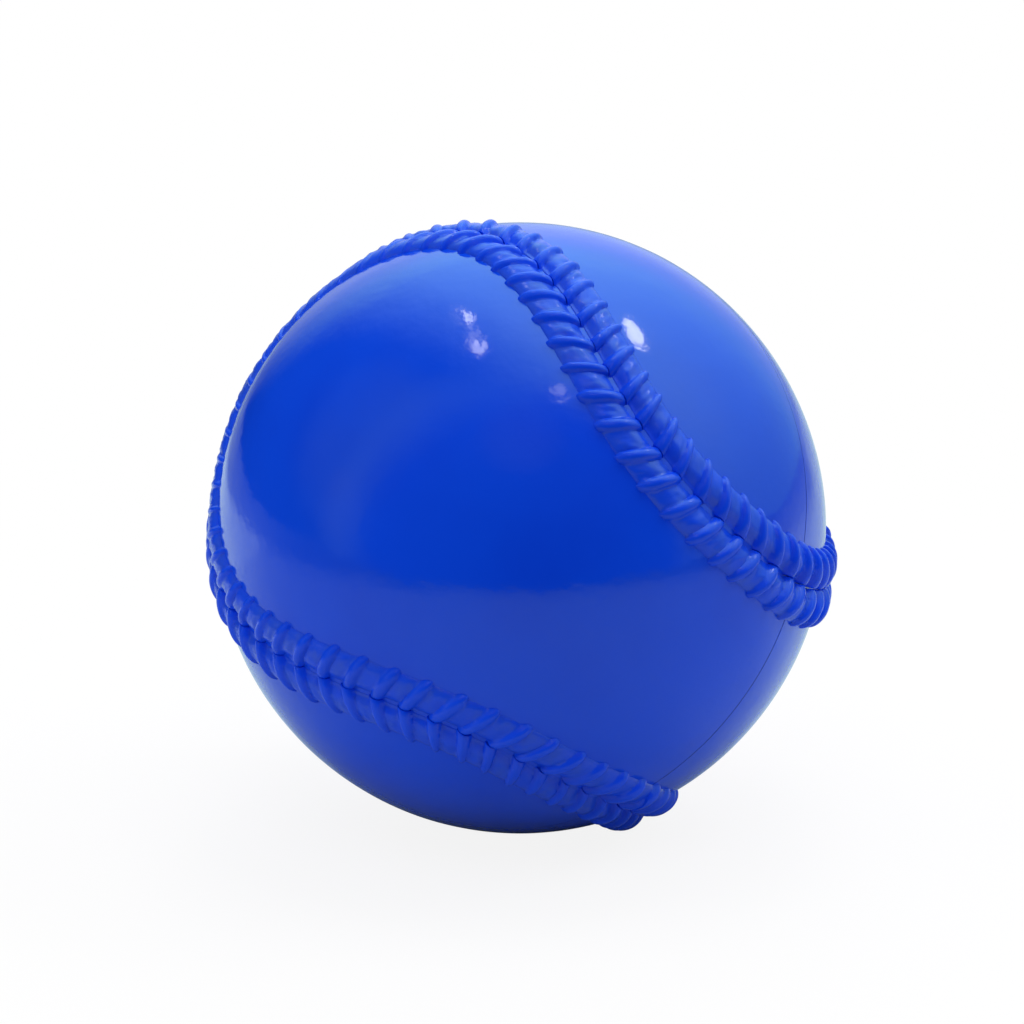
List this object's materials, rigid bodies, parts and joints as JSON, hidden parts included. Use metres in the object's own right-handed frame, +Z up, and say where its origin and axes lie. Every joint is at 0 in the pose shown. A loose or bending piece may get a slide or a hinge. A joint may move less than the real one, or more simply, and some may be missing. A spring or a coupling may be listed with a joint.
{
  "type": "weighted training ball",
  "caption": "Soft glossy sand-filled training ball with two raised herringbone stitch rows along a baseball seam, moulded in two halves and closed by a plug",
  "frame": {"origin": "centre of the ball", "axes": "+Z up with the ball lying as pictured, -Y towards the camera, +X to its right"},
  "size_m": [0.0753, 0.073, 0.0741],
  "materials": {
    "shell": "glossy soft PVC, royal blue",
    "stitches": "glossy soft PVC, royal blue, moulded with the shell",
    "sand": "loose dry sand",
    "plug": "satin PVC, royal blue"
  },
  "bodies": {
    "root": {"front_half_shell": "shell", "rear_half_shell": "shell", "front_inner_stitches": "stitches", "front_outer_stitches": "stitches", "rear_inner_stitches": "stitches", "rear_outer_stitches": "stitches", "sand_fill": "sand", "fill_plug": "plug"}
  },
  "joints": []
}
